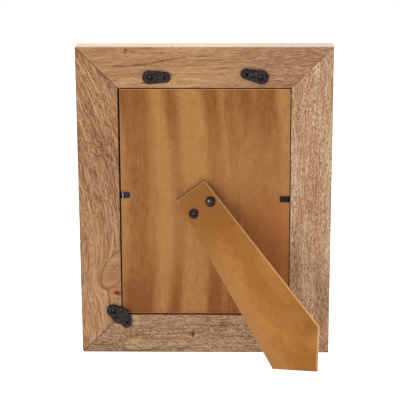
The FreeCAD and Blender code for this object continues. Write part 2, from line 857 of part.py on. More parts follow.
def standing_placement(parts):
    """Leans the frame on its leg, with the middle of its footprint's box at the origin."""
    lean_back = Placement(ORIGIN, Rotation(X_AXIS, 90 + lean))
    lying = Part.makeCompound([shape.copy() for shape in parts.values()])
    lying.Placement = lean_back
    box = lying.BoundBox
    shift = Vector(0, -(box.YMin + box.YMax) / 2, 0)
    return Placement(shift, Rotation()).multiply(lean_back)


def main():
    os.makedirs("parts", exist_ok=True)
    parts = lying_parts()
    stand = standing_placement(parts)
    for name, shape in parts.items():
        shape.Placement = stand.multiply(shape.Placement)
        shape.exportStep(f"parts/{name}.step")


main()
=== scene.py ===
import math

import bpy
import numpy as np
from mathutils import Matrix, Vector


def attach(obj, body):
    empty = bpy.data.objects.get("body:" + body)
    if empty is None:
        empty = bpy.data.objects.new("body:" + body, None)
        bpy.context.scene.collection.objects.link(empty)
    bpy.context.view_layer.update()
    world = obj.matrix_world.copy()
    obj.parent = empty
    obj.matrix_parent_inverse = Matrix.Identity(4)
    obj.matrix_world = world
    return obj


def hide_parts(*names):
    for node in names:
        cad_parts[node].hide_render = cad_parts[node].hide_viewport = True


# Looks of an easel back photo frame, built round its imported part. Metres, in the part's own
# frame. Places on the photo frame are (across, up, out): across from its middle, up from its
# bottom edge, and out of its back face, which is out = 0.

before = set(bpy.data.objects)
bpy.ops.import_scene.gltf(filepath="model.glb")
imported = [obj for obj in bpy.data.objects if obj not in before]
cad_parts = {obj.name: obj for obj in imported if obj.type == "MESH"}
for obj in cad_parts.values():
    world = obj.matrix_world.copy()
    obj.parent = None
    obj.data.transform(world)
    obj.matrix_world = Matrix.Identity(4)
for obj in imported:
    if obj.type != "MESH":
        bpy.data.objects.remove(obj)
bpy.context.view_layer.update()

# Sizes
mm = 0.001


def in_mm(*values):
    """Values in millimetres, as a tuple of metres."""
    return tuple(value * mm for value in values)


lean = math.radians(9.5)
bottom_edge_y = 26.3189 * mm
frame_width = 195 * mm
frame_height = 245.5 * mm
frame_depth = 18 * mm
rail_back_width = 31.6 * mm
rail_face_width = 37.1 * mm
rabbet_depth = 7.8 * mm
backing_recess = 2 * mm
backing_thickness = 3 * mm
worn_corner_round = 2.2 * mm
crisp_corner_round = 0.4 * mm
crease_angle = math.radians(50.0)

hinge_turn = math.radians(37.0)
open_angle = math.radians(23.66859)
hinge_place = in_mm(-5.5, 126.7, -0.45)
leg_inner_face = 1.55 * mm
leg_outer_face = 5.55 * mm
leg_corners = (
    in_mm(-13.4, 7.2728, 0.8),
    in_mm(-24.0255, -140.9602, 0.25),
    in_mm(3.1033, -161.4031, 0.25),
    in_mm(23.5462, -134.2744, 0.8),
    in_mm(13.4, 7.2728, 0.8),
)

backing_corners = (
    in_mm(-65.2, 32, 0.4), in_mm(65.4, 32, 0.4),
    in_mm(65.4, 212.8, 0.4), in_mm(-64.7, 212.8, 0.4),
)

insert_corners = (
    in_mm(-63.5, 33.75, 0.3), in_mm(63.5, 33.75, 0.3),
    in_mm(63.5, 211.75, 0.3), in_mm(-63.5, 211.75, 0.3),
)
insert_front = -5.8 * mm
insert_back = -5 * mm

# Axes of the standing frame and of the opened leg, as rows
sin_lean, cos_lean = math.sin(lean), math.cos(lean)
across_axis = np.array([1.0, 0.0, 0.0])
up_axis = np.array([0.0, -sin_lean, cos_lean])
out_axis = np.array([0.0, -cos_lean, -sin_lean])
frame_axes = np.array([across_axis, up_axis, out_axis])
frame_origin = np.array([0.0, bottom_edge_y, 0.0])


def standing(across, up, out):
    """Points of the standing frame: origin + across * X + up * U + out * N, over whole arrays."""
    return frame_origin + np.stack(np.broadcast_arrays(across, up, out), axis=-1) @ frame_axes


# The leg's axes are the frame's, turned by the hinge's turn and then opened about its pin
hinge_turned = Matrix.Rotation(hinge_turn, 3, "Z") @ Matrix.Rotation(-open_angle, 3, "X")
leg_axes = np.array(hinge_turned).T @ frame_axes
leg_origin = standing(*hinge_place)


def on_leg(along_pin, up_leg, out):
    """Points of the opened leg: hinge + along_pin * A + up_leg * B + out * C, over whole arrays."""
    return leg_origin + np.stack(np.broadcast_arrays(along_pin, up_leg, out), axis=-1) @ leg_axes


# Shapes


# Large odd numbers that scatter the hashed values
hash_axes, hash_seed, hash_mix = np.array([73856093, 19349663, 83492791]), 40503, 1274126177
hash_top = 0xFFFF


def drift(x, y, z, cells, seed):
    """Smooth relief from -1 to 1: hashed values at the eight lattice points round each point,
    blended along each axis by 3t^2 - 2t^3. Cells are the lattice's spacings along x, y and z."""
    points = np.stack([x / cells[0], y / cells[1], z / cells[2]], axis=-1)
    cell = np.floor(points).astype(np.int64)
    share = points - cell
    share = share * share * (3 - 2 * share)
    total = np.zeros(points.shape[:-1])
    for corner in np.ndindex(2, 2, 2):
        step = np.array(corner)
        key = (cell + step) @ hash_axes + seed * hash_seed
        key = (key ^ (key >> 13)) * hash_mix
        value = ((key ^ (key >> 16)) & hash_top) / (hash_top / 2) - 1
        total += value * np.prod(np.where(step, share, 1 - share), axis=-1)
    return total


def unit(vector):
    """A vector of length 1 along a given one."""
    return vector / np.linalg.norm(vector)


def at_corner(corners, index):
    """A corner's point, and unit vectors from it along its two edges, back and ahead."""
    before, point, after = (np.array(corners[k % len(corners)][:2]) for k in (index - 1, index, index + 1))
    return point, unit(before - point), unit(after - point)


def inset_corners(corners, inset, least_round):
    """The corners of an outline moved in by an inset: each goes along the sum of its two edge
    directions by inset / sin(angle), and its radius shrinks by the inset."""
    moved = []
    for index, (_, _, radius) in enumerate(corners):
        point, back, ahead = at_corner(corners, index)
        sine = abs(back[0] * ahead[1] - back[1] * ahead[0])
        new = point + (back + ahead) * inset / sine
        moved.append((new[0], new[1], max(radius - inset, least_round)))
    return moved


def rounded_loop(corners, runs, arc_steps):
    """A closed outline: an arc of each corner's radius, and straight runs cut into given counts."""
    arcs = []
    for index, (_, _, radius) in enumerate(corners):
        point, back, ahead = at_corner(corners, index)
        if radius == 0:
            arcs.append(point[None])
            continue
        half = math.acos(np.clip(back @ ahead, -1, 1)) / 2
        centre = point + unit(back + ahead) * radius / math.sin(half)
        first = back * radius / math.tan(half) + point - centre
        last = ahead * radius / math.tan(half) + point - centre
        sweep = math.pi - 2 * half
        share = np.linspace(0, 1, arc_steps + 1)[:, None]
        swung = np.sin((1 - share) * sweep) * first + np.sin(share * sweep) * last
        arcs.append(centre + swung / math.sin(sweep))
    loop = []
    for arc, count, after in zip(arcs, runs, arcs[1:] + arcs[:1]):
        share = (np.arange(1, count) / count)[:, None]
        loop += [arc, arc[-1] + share * (after[0] - arc[-1])]
    return np.concatenate(loop)


def run_counts(corners, step):
    """How many pieces each straight run is cut into, so that none is longer than a step."""
    ends = np.array(corners)[:, :2]
    lengths = np.linalg.norm(np.roll(ends, -1, axis=0) - ends, axis=1)
    return [max(2, math.ceil(length / step)) for length in lengths]


def outward(loop):
    """Unit normals of a closed loop: the chord between each point's neighbours, turned by a quarter."""
    chord = np.roll(loop, -1, axis=0) - np.roll(loop, 1, axis=0)
    normal = np.stack([chord[:, 1], -chord[:, 0]], axis=-1)
    x, y = loop.T
    area = np.sum(x * np.roll(y, -1) - np.roll(x, -1) * y)
    return np.sign(area) * normal / np.linalg.norm(normal, axis=1, keepdims=True)


def carried_skin(name, grid, values):
    """A closed mesh over rings of points: grid[i, j] is point j of ring i, quads join the rings,
    and one flat face closes each end. Faces point outwards: the signed volume is made positive."""
    rings, around = grid.shape[:2]
    index = np.arange(rings * around).reshape(rings, around)
    after = np.roll(index, -1, axis=1)
    quads = np.stack([index[:-1], after[:-1], after[1:], index[1:]], axis=-1).reshape(-1, 4)
    points = grid.reshape(-1, 3)
    a, b, c, d = (points[quads[:, k]] - points.mean(axis=0) for k in range(4))
    volume = np.sum(a * np.cross(b, c)) + np.sum(a * np.cross(c, d))
    faces = quads.tolist() + [index[0][::-1].tolist(), index[-1].tolist()]
    if volume < 0:
        faces = [face[::-1] for face in faces]
    mesh = bpy.data.meshes.new(name)
    mesh.from_pydata(points.tolist(), [], faces)
    mesh.polygons.foreach_set("use_smooth", np.ones(len(mesh.polygons), bool))
    mesh.set_sharp_from_angle(angle=crease_angle)
    for label, value in values.items():
        attribute = mesh.attributes.new(label, "FLOAT", "POINT")
        attribute.data.foreach_set("value", value.ravel().astype(np.float32))
    mesh.update()
    piece = bpy.data.objects.new(name, mesh)
    bpy.context.scene.collection.objects.link(piece)
    return piece


# Rails: the section is drawn in (inset from the outer edge, out), as the part's moulding is

rail_step, rail_arc_steps, rail_even_steps = 0.8 * mm, 6, 300
# Spacings of each relief along a rail, across it and out of it
wave_cells, furrow_cells = (0.045, 0.02, 0.02), (0.03, 0.0024, 0.0024)
wear_cells = (0.007, 0.004, 0.004)
wave_depth, furrow_depth, wear_depth, groove_depth = in_mm(0.025, 0.018, 0.05, 0.12)
groove_reach, mitre_reach = in_mm(0.3, 0.5)
sharp_bend = 0.5
rail_section = (
    in_mm(0, 0, 0.5),
    (0.0, -frame_depth, 2.5 * mm),
    (rail_face_width, -frame_depth, 2 * mm),
    (rail_face_width, -rabbet_depth, 0.0),
    (rail_back_width, -rabbet_depth, 0.0),
    (rail_back_width, 0.0, 0.3 * mm),
)


def rail_stations(length):
    """Shares along a rail from -1 to 1: even steps, and close ones next to each mitre."""
    near = np.array([0.0, 0.1, 0.22, 0.36, 0.6, 1.0]) * mm / (length / 2)
    inner = 1 - near[-1]
    even = np.linspace(-inner, inner, rail_even_steps)[1:-1]
    return np.concatenate([near - 1, even, (1 - near)[::-1]])


def within_corner(across, up, corner_across, corner_up, radius):
    """Draws points beyond a corner's arc in to it: centre + offset * min(1, radius / its length)."""
    centre_x = corner_across - math.copysign(radius, corner_across)
    centre_y = corner_up - radius if corner_up > 0 else radius
    dx, dy = across - centre_x, up - centre_y
    outside = (dx * math.copysign(1, corner_across) > 0) & (dy * (1 if corner_up > 0 else -1) > 0)
    length = np.hypot(dx, dy)
    share = np.where(outside & (length > radius), radius / np.maximum(length, 1e-9), 1.0)
    return centre_x + dx * share, centre_y + dy * share


def sunk_marks(across, up, out, marks):
    """Depth of small nicks: each sinks by depth * exp(-(distance / radius)^2). A row of marks holds
    a place, a radius and a depth, in mm."""
    depth = np.zeros(np.shape(across))
    for mark in marks:
        mark_across, mark_up, mark_out, radius, sink = in_mm(*mark)
        away = (across - mark_across) ** 2 + (up - mark_up) ** 2 + (out - mark_out) ** 2
        depth += sink * np.exp(-away / radius**2)
    return depth


def rail(name, length, to_frame, marks, seed):
    """One rail: its section is carried between two mitre planes, point (inset, out) running along
    (length / 2 - inset) * t for t from -1 to 1. The face then sinks along the section's normal by
    a long wave, furrows along the fibre, a wandering wear on its arrises and a groove at each mitre."""
    section = rounded_loop(rail_section, run_counts(rail_section, rail_step), rail_arc_steps)
    normal = outward(section)
    t = rail_stations(length)[:, None]
    inset, out = section.T[:, None]
    inset, out, along = np.broadcast_arrays(inset, out, (length / 2 - inset) * t)
    long_wave = drift(along, inset, out, wave_cells, seed)
    furrow = drift(along, inset, out, furrow_cells, seed + 1)
    wear = drift(along, inset, out, wear_cells, seed + 2)
    bend = np.linalg.norm(np.roll(normal, -1, axis=0) - np.roll(normal, 1, axis=0), axis=1)
    arris = np.clip(bend / sharp_bend, 0, 1)[None] * np.ones_like(along)
    to_mitre = (length / 2 - inset) * (1 - np.abs(t)) / math.sqrt(2)
    groove = np.clip(1 - to_mitre / groove_reach, 0, 1) ** 2

    sink = wave_depth * (1 + long_wave) + furrow_depth * (1 + furrow)
    sink += wear_depth * np.clip(wear, 0, 1) * arris + groove_depth * groove
    across, up = to_frame(along, inset)
    sink += sunk_marks(across, up, out, marks)
    across, up = to_frame(along, inset - normal[:, 0] * sink)
    for side in (-1, 1):
        for top in (0, 1):
            radius = worn_corner_round if (side, top) == (-1, 0) else crisp_corner_round
            across, up = within_corner(across, up, side * frame_width / 2, top * frame_height, radius)
    values = {"arris": arris, "mitre": np.clip(1 - to_mitre / mitre_reach, 0, 1)}
    return carried_skin(name, standing(across, up, out - normal[:, 1] * sink), values)


half_width, half_height = frame_width / 2, frame_height / 2
rail_rows = {
    "bottom_rail": (frame_width, lambda along, inset: (along, inset), 11),
    "top_rail": (frame_width, lambda along, inset: (-along, frame_height - inset), 23),
    "left_stile": (frame_height, lambda along, inset: (-half_width + inset, half_height - along), 37),
    "right_stile": (frame_height, lambda along, inset: (half_width - inset, half_height + along), 41),
}
rail_marks = {
    "right_stile": ((66, 204.3, 0, 0.9, 0.5), (66, 164.1, 0, 0.6, 0.35), (66, 118, 0, 0.5, 0.3)),
    "left_stile": ((-69.3, 49.8, 0, 1.3, 0.3), (-70.6, 71.2, 0, 1, 0.15), (-97.5, 92, 0, 1.2, 0.3)),
    "top_rail": ((-59, 242.6, 0, 0.9, 0.3),),
    "bottom_rail": ((-9, 14.8, 0, 1, 0.25),),
}
rails = {
    name: rail(name + "_shaped", length, to_frame, rail_marks[name], seed)
    for name, (length, to_frame, seed) in rail_rows.items()
}


# Boards: backing, leg and card

foot_round, least_round, edge_reach = in_mm(0.12, 0.05, 0.5)
board_arc_steps, arris_steps = 5, 7
board_wave_cells, board_ripple_cells, board_nibble_cells = (0.05,) * 3, (0.006,) * 3, (0.0028,) * 3
board_wave_depth, board_ripple_depth, board_nibble_depth = in_mm(0.02, 0.006, 0.09)
# The face's rings crowd towards its rim by this power, and the last one is this small
ring_power, ring_reach, hub_share = 1.35, 0.99, 0.01


def eased_board(name, corners, low, high, arris_round, step, ring_count, place, marks, seed):
    """A board: its rounded outline is carried up its side, over a quarter round of the arris
    (in by r - r cos, up by r sin) and then, drawn in to the middle, over its face. The face sinks
    by a long wave and by small marks."""
    runs = run_counts(corners, step)
    rows = [(foot_round, low), (foot_round * 0.3, low + foot_round * 0.3), (0.0, low + foot_round)]
    side_top = high - arris_round
    rows += [(0.0, low + foot_round + (side_top - low - foot_round) * share) for share in (0.5, 1.0)]
    for quarter in np.linspace(0, math.pi / 2, arris_steps + 1)[1:]:
        rows.append((arris_round * (1 - math.cos(quarter)), side_top + arris_round * math.sin(quarter)))
    insets, heights = np.array(rows).T
    outlines = [inset_corners(corners, inset, least_round) for inset in insets]
    loops = np.stack([rounded_loop(outline, runs, board_arc_steps) for outline in outlines])
    middle, last = loops[-1].mean(axis=0), loops[-1]
    reach = min(np.linalg.norm(last - middle, axis=1))
    share = 1 - np.linspace(0, 1, ring_count + 1)[1:] ** ring_power * ring_reach
    hub = middle + (loops[:1] - middle) * hub_share
    flat = np.concatenate([hub, loops, middle + (last - middle) * share[:, None, None]])
    inset = np.concatenate([[insets[-1] + reach], insets, insets[-1] + reach * (1 - share)])
    height = np.concatenate([[low], heights, np.full(ring_count, high)])
    inset, height = (np.broadcast_to(row[:, None], flat.shape[:2]) for row in (inset, height))
    x, y = flat[..., 0], flat[..., 1]
    wave = drift(x, y, height, board_wave_cells, seed)
    ripple = drift(x, y, height, board_ripple_cells, seed + 1)
    nibble = drift(x, y, height, board_nibble_cells, seed + 2)
    on_face = height > side_top + arris_round * 0.2
    on_arris = on_face & (inset < arris_round * 1.05)
    sink = board_wave_depth * (1 + wave) + board_ripple_depth * (1 + ripple)
    sink += np.where(on_arris, board_nibble_depth * np.clip(nibble, 0, 1), 0)
    sink += sunk_marks(x, y, height, marks)
    height = height - np.where(on_face, sink, 0)
    # The edge value is 1 on the side and the arris, and fades over a few tenths inside them
    edge = np.clip(1 - (inset - arris_round * 0.75) / edge_reach, 0, 1)
    return carried_skin(name, place(x, y, height), {"edge": edge})


backing = eased_board(
    "backing_board_shaped", backing_corners, low=-backing_recess - backing_thickness, high=-backing_recess,
    arris_round=0.4 * mm, step=1.6 * mm, ring_count=56, place=standing,
    marks=((-56.5, 153.8, -2, 0.7, 0.12),), seed=59,
)
leg = eased_board(
    "easel_leg_shaped", leg_corners, low=leg_inner_face, high=leg_outer_face,
    arris_round=0.9 * mm, step=1.2 * mm, ring_count=40, place=on_leg,
    marks=((12.6, -32, 5.55, 1.6, 0.35),), seed=67,
)
# The card keeps a thin layer of air behind the glass
card = eased_board(
    "photo_insert_shaped", insert_corners, low=insert_front + 0.1 * mm, high=insert_back,
    arris_round=0.1 * mm, step=4 * mm, ring_count=12, place=standing, marks=(), seed=71,
)


# Node wiring


class Wiring:
    """One node tree while it is drawn. Each call adds a node and hands back an output of it."""

    def __init__(self, tree):
        self.tree = tree

    def feed(self, socket, value):
        if isinstance(value, bpy.types.NodeSocket):
            self.tree.links.new(value, socket)
        else:
            socket.default_value = value

    def node(self, kind, inputs=(), **settings):
        made = self.tree.nodes.new(kind)
        for key, value in settings.items():
            setattr(made, key, value)
        for key, value in dict(inputs).items():
            self.feed(made.inputs[key], value)
        return made

    def maths(self, operation, *values):
        return self.node("ShaderNodeMath", enumerate(values), operation=operation).outputs[0]

    def times(self, first, *others):
        for other in others:
            first = self.maths("MULTIPLY", first, other)
        return first

    def plus(self, first, *others):
        for other in others:
            first = self.maths("ADD", first, other)
        return first

    def minus(self, first, second):
        return self.maths("SUBTRACT", first, second)

    def apart(self, first, second):
        """How far two values are from each other."""
        return self.maths("ABSOLUTE", self.minus(first, second))

    def vectors(self, operation, *values):
        made = self.node("ShaderNodeVectorMath", enumerate(values), operation=operation)
        return made.outputs["Value" if operation == "LENGTH" else "Vector"]

    def ramp(self, value, low, high, first=0.0, last=1.0):
        """A smooth step from first to last while value goes from low to high."""
        inputs = {"Value": value, "From Min": low, "From Max": high, "To Min": first, "To Max": last}
        return self.node("ShaderNodeMapRange", inputs, interpolation_type="SMOOTHSTEP").outputs[0]

    def blend(self, share, first, second, mode="MIX"):
        made = self.node("ShaderNodeMix", {0: share, 6: first, 7: second}, data_type="RGBA", blend_type=mode)
        return made.outputs[2]

    def tint(self, colour, tone, *shares):
        """A colour blended towards a tone by the product of shares."""
        return self.blend(self.times(*shares), colour, tone)

    def noise(self, vector, scales, detail=3, roughness=0.6):
        """Noise over a vector whose three parts are scaled first."""
        scaled = self.vectors("MULTIPLY", vector, scales)
        inputs = {"Vector": scaled, "Scale": 1.0, "Detail": detail, "Roughness": roughness}
        return self.node("ShaderNodeTexNoise", inputs).outputs[0]

    def parts(self, vector):
        return self.node("ShaderNodeSeparateXYZ", {0: vector}).outputs

    def vector(self, x, y, z):
        return self.node("ShaderNodeCombineXYZ", {0: x, 1: y, 2: z}).outputs[0]

    def effect(self, group, **inputs):
        return self.node("ShaderNodeGroup", inputs, node_tree=group).outputs

    def surface(self, colour, rough, height, distance, strength):
        """What a material's drawing hands back: its colour, its roughness and its relief."""
        inputs = {"Height": height, "Distance": distance, "Strength": strength}
        normal = self.node("ShaderNodeBump", inputs).outputs[0]
        return {"Base Color": colour, "Roughness": rough, "Normal": normal}

    def own_axes(self, axes=frame_axes, origin=frame_origin):
        """Object coordinates in a piece's own axes: rows of axes, measured from an origin. They are
        the standing frame's if none are given."""
        turn = Matrix(axes.tolist())
        start = turn @ Vector(origin.tolist())
        coordinates = self.tree.nodes.new("ShaderNodeTexCoord").outputs["Object"]
        inputs = {"Vector": coordinates, "Location": -start, "Rotation": turn.to_euler("XYZ")}
        return self.node("ShaderNodeMapping", inputs, vector_type="POINT").outputs[0]

    def value_of(self, label):
        return self.node("ShaderNodeAttribute", attribute_name=label).outputs["Fac"]


KINDS = {"colour": "NodeSocketColor", "value": "NodeSocketFloat", "vector": "NodeSocketVector"}


def sockets(**labels):
    """Labels of sockets, given under their kind, as a table from each label to its kind."""
    return {label: kind for kind, row in labels.items() for label in row.split()}


def effect(name, inputs, outputs, draw):
    """A shader node group. draw takes its wiring and its inputs by name and hands back its outputs."""
    tree = bpy.data.node_groups.new(name, "ShaderNodeTree")
    for way, labels in (("INPUT", inputs), ("OUTPUT", outputs)):
        for label, kind in labels.items():
            tree.interface.new_socket(name=label, in_out=way, socket_type=KINDS[kind])
    start, end = tree.nodes.new("NodeGroupInput"), tree.nodes.new("NodeGroupOutput")
    made = draw(Wiring(tree), {label: start.outputs[label] for label in inputs})
    for label, value in made.items():
        tree.links.new(value, end.inputs[label])
    return tree


def paint(red, green, blue):
    """A colour of 0 to 255 screen values as linear red, green, blue and 1."""
    shares = [value / 255 for value in (red, green, blue)]
    return [s / 12.92 if s <= 0.04045 else ((s + 0.055) / 1.055) ** 2.4 for s in shares] + [1.0]


# Effects


def draw_timber(w, given):
    """Wood along the first axis: wandering bands and streaks, fibres, thin veins and short dashes."""
    flow = w.vectors("ADD", given["Vector"], given["Cut"])
    slow = w.minus(w.noise(flow, (9, 30, 30), 2, 0.5), 0.5)
    quick = w.minus(w.noise(flow, (110, 170, 170), 3, 0.5), 0.5)
    shift = w.plus(w.times(slow, given["Wander"]), w.times(quick, given["Curl"]))
    grain = w.vectors("ADD", flow, w.vector(0.0, shift, shift))
    broad = w.noise(grain, (7, 120, 120), 3, 0.55)
    streak = w.noise(grain, (30, 820, 820), 4, 0.66)
    fibre = w.noise(grain, (140, 2100, 2100), 2, 0.6)
    dash = w.noise(grain, (150, 1900, 1900))
    lines = w.noise(grain, (11, 210, 210))
    broken = w.noise(grain, (60, 160, 160), 2, 0.5)
    patch = w.noise(flow, (16, 40, 40), 2, 0.5)

    bands = w.times(w.ramp(broad, 0.36, 0.64), given["Bands"])
    streaks = w.times(w.ramp(streak, 0.40, 0.64), given["Streaks"])
    dark = w.maths("MINIMUM", w.plus(bands, streaks), 1.0)
    colour = w.blend(dark, given["Light"], given["Dark"])
    colour = w.blend(w.ramp(patch, 0.42, 0.6), colour, given["Blush"], "MULTIPLY")
    colour = w.blend(w.ramp(fibre, 0.3, 0.7, 0, 0.4), colour, given["Light"])
    dashes = w.times(w.ramp(dash, 0.47, 0.585), given["Dashes"])
    colour = w.blend(dashes, colour, given["Vein"])
    ridge = w.apart(lines, 0.5)
    vein = w.times(w.ramp(ridge, 0, 0.022, 1, 0), w.ramp(broken, 0.44, 0.6), given["Veins"])
    colour = w.blend(vein, colour, given["Vein"])
    deep = w.maths("MINIMUM", w.plus(vein, dashes), 1.0)
    height = w.minus(w.times(fibre, 0.5), deep)
    return {"Color": colour, "Height": height, "Deep": deep}


timber = effect(
    "timber",
    sockets(
        vector="Vector Cut",
        colour="Light Dark Blush Vein",
        value="Wander Curl Bands Streaks Dashes Veins",
    ),
    sockets(colour="Color", value="Height Deep"),
    draw_timber,
)


def draw_knot(w, given):
    """Grain that flows round an oval knot: outside it, across becomes across * (1 - 1 / r^2), with
    r the distance from its centre in half widths. Its long axis leans by Lean across per length."""
    away = w.vectors("SUBTRACT", given["Vector"], given["Centre"])
    far_along, far_across, far_out = w.parts(away)
    leant = w.plus(far_across, w.times(far_along, given["Lean"]))
    oval = w.vectors("DIVIDE", w.vector(far_along, leant, far_out), given["Size"])
    along, across, _ = w.parts(oval)
    square = w.plus(w.times(along, along), w.times(across, across))
    inverse = w.maths("DIVIDE", 1.0, w.maths("MAXIMUM", square, 1.0))
    size_across = w.parts(given["Size"])[1]
    pushed = w.times(across, inverse, size_across)
    first, second, third = w.parts(given["Vector"])
    radius = w.vectors("LENGTH", oval)
    return {"Vector": w.vector(first, w.minus(second, pushed), third), "Radius": radius}


knot = effect(
    "knot",
    sockets(vector="Vector Centre Size", value="Lean"),
    sockets(vector="Vector", value="Radius"),
    draw_knot,
)


def draw_spot(w, given):
    """An oval spot: 1 at its centre, and down to 0 at its edge, softened from Core outwards and
    ragged by a fine noise."""
    ragged = w.times(w.minus(w.noise(given["Vector"], (700,) * 3, 2, 0.5), 0.5), 0.6)
    away = w.vectors("DIVIDE", w.vectors("SUBTRACT", given["Vector"], given["Centre"]), given["Size"])
    radius = w.plus(w.vectors("LENGTH", away), ragged)
    return {"Mask": w.ramp(radius, given["Core"], 1, 1, 0)}


spot = effect("spot", sockets(vector="Vector Centre Size", value="Core"), sockets(value="Mask"), draw_spot)


def spot_mask(w, place, centre, size, core=0.0):
    """Where one spot lies, with its centre and its three half sizes in mm."""
    return w.effect(spot, Vector=place, Centre=in_mm(*centre), Size=in_mm(*size), Core=core)["Mask"]


def spotted(w, colour, place, rows, core=0.2):
    """Spots over a colour. Each row holds a centre and three half sizes in mm, a tone and its share."""
    for centre, size, tone, share in rows:
        colour = w.tint(colour, tone, spot_mask(w, place, centre, size, core), share)
    return colour


# Materials


def material(name, draw, **plain):
    """A material of one Principled shader: plain values on its own sockets, and what draw hands back."""
    made = bpy.data.materials.new(name)
    made.use_nodes = True
    tree = made.node_tree
    shader = next(n for n in tree.nodes if n.type == "BSDF_PRINCIPLED")
    for label, value in plain.items():
        shader.inputs[label.replace("_", " ")].default_value = value
    w = Wiring(tree)
    for label, value in draw(w).items():
        w.feed(shader.inputs[label], value)
    return made


stile_axes = np.array([up_axis, -across_axis, out_axis])
wood_looks = {
    "top_rail": dict(
        Cut=(0.31, 0.72, 0.11), Wander=0.016, Curl=0.0012, Bands=0.6, Streaks=0.6, Dashes=0.4, Veins=0.8,
        Light=paint(197, 155, 111), Dark=paint(152, 108, 69), Vein=paint(118, 80, 50),
        Blush=(0.96, 0.93, 0.92, 1.0),
    ),
    "bottom_rail": dict(
        Cut=(1.37, 0.25, 0.43), Wander=0.02, Curl=0.006, Bands=0.4, Streaks=0.75, Dashes=0.75, Veins=0.2,
        Light=paint(195, 159, 122), Dark=paint(124, 83, 50), Vein=paint(90, 54, 32),
        Blush=(0.94, 0.92, 0.93, 1.0),
    ),
    "left_stile": dict(
        Cut=(2.13, 0.57, 0.81), Wander=0.012, Curl=0.004, Bands=0.4, Streaks=0.8, Dashes=0.75, Veins=0.2,
        Light=paint(192, 148, 105), Dark=paint(119, 72, 36), Vein=paint(88, 48, 28),
        Blush=(0.95, 0.91, 0.88, 1.0),
    ),
    "right_stile": dict(
        Cut=(3.71, 0.19, 0.67), Wander=0.006, Curl=0.002, Bands=0.55, Streaks=0.6, Dashes=0.65, Veins=0.15,
        Light=paint(217, 184, 150), Dark=paint(156, 110, 70), Vein=paint(116, 72, 42),
        Blush=(0.95, 0.94, 0.96, 1.0),
    ),
}
tongue_look = dict(
    Cut=(0.4, 0.1, 0.9), Wander=0.01, Curl=0.001, Bands=0.5, Streaks=0.5, Dashes=0.3, Veins=0.2,
    Light=paint(214, 180, 136), Dark=paint(188, 148, 104), Vein=paint(150, 108, 72),
    Blush=(0.97, 0.96, 0.95, 1.0),
)


def right_figure(w, place, look):
    """The right stile: the same wood with strokes of half the length, and small dark flecks."""
    made = w.effect(timber, Vector=w.vectors("MULTIPLY", place, (2.0, 1.0, 1.0)), **look)
    fleck = w.noise(place, (520, 1250, 1250))
    fleck = w.ramp(fleck, 0.56, 0.64, 0, 0.8)
    colour = w.blend(fleck, made["Color"], look["Vein"])
    return colour, made["Height"], w.maths("MAXIMUM", made["Deep"], fleck)


def top_figure(w, place, look):
    """The top rail: finer darker grain towards its right end, one small knot, and a long dark line
    that climbs by 4 mm * tanh((across + 34 mm) / 18 mm)."""
    made = w.effect(timber, Vector=place, **look)
    colour = made["Color"]
    across, up, _ = w.parts(place)
    fine = w.noise(place, (150, 1300, 900))
    right_end = w.ramp(across, -10 * mm, 60 * mm)
    fine_share = w.times(w.ramp(fine, 0.44, 0.58, 0, 0.75), right_end)
    colour = w.tint(colour, paint(156, 120, 90), right_end, 0.3)
    colour = w.blend(fine_share, colour, paint(118, 84, 60))
    climb = w.maths("TANH", w.maths("DIVIDE", w.plus(across, 34 * mm), 18 * mm))
    middle = w.plus(234.2 * mm, w.times(climb, 4 * mm))
    waver = w.minus(w.noise(place, (160, 60, 60)), 0.5)
    off = w.maths("ABSOLUTE", w.plus(w.minus(up, middle), w.times(waver, 2.4 * mm)))
    gaps = w.ramp(w.noise(place, (130, 20, 20), 2, 0.5), 0.38, 0.55, 0.15, 1)
    ends = w.times(w.ramp(across, -84 * mm, -70 * mm), w.ramp(across, -8 * mm, 12 * mm, 1, 0))
    long_line = w.times(w.ramp(off, 0.1 * mm, 0.75 * mm, 0.85, 0), gaps, ends)
    colour = w.blend(long_line, colour, paint(84, 54, 34))
    colour = spotted(w, colour, place, (
        ((-59, 243, 0), (2.2, 1.5, 6), paint(88, 44, 14), 0.85),
        ((-59.8, 240.9, 0), (2.6, 0.8, 6), paint(116, 70, 34), 0.85),
        ((-31.5, 234.8, 0), (2.2, 0.8, 6), paint(66, 42, 28), 0.85),
        ((-50.5, 231.6, 0), (4.5, 0.6, 6), paint(92, 60, 38), 0.85),
    ), core=0.3)
    return colour, w.minus(made["Height"], long_line), made["Deep"]


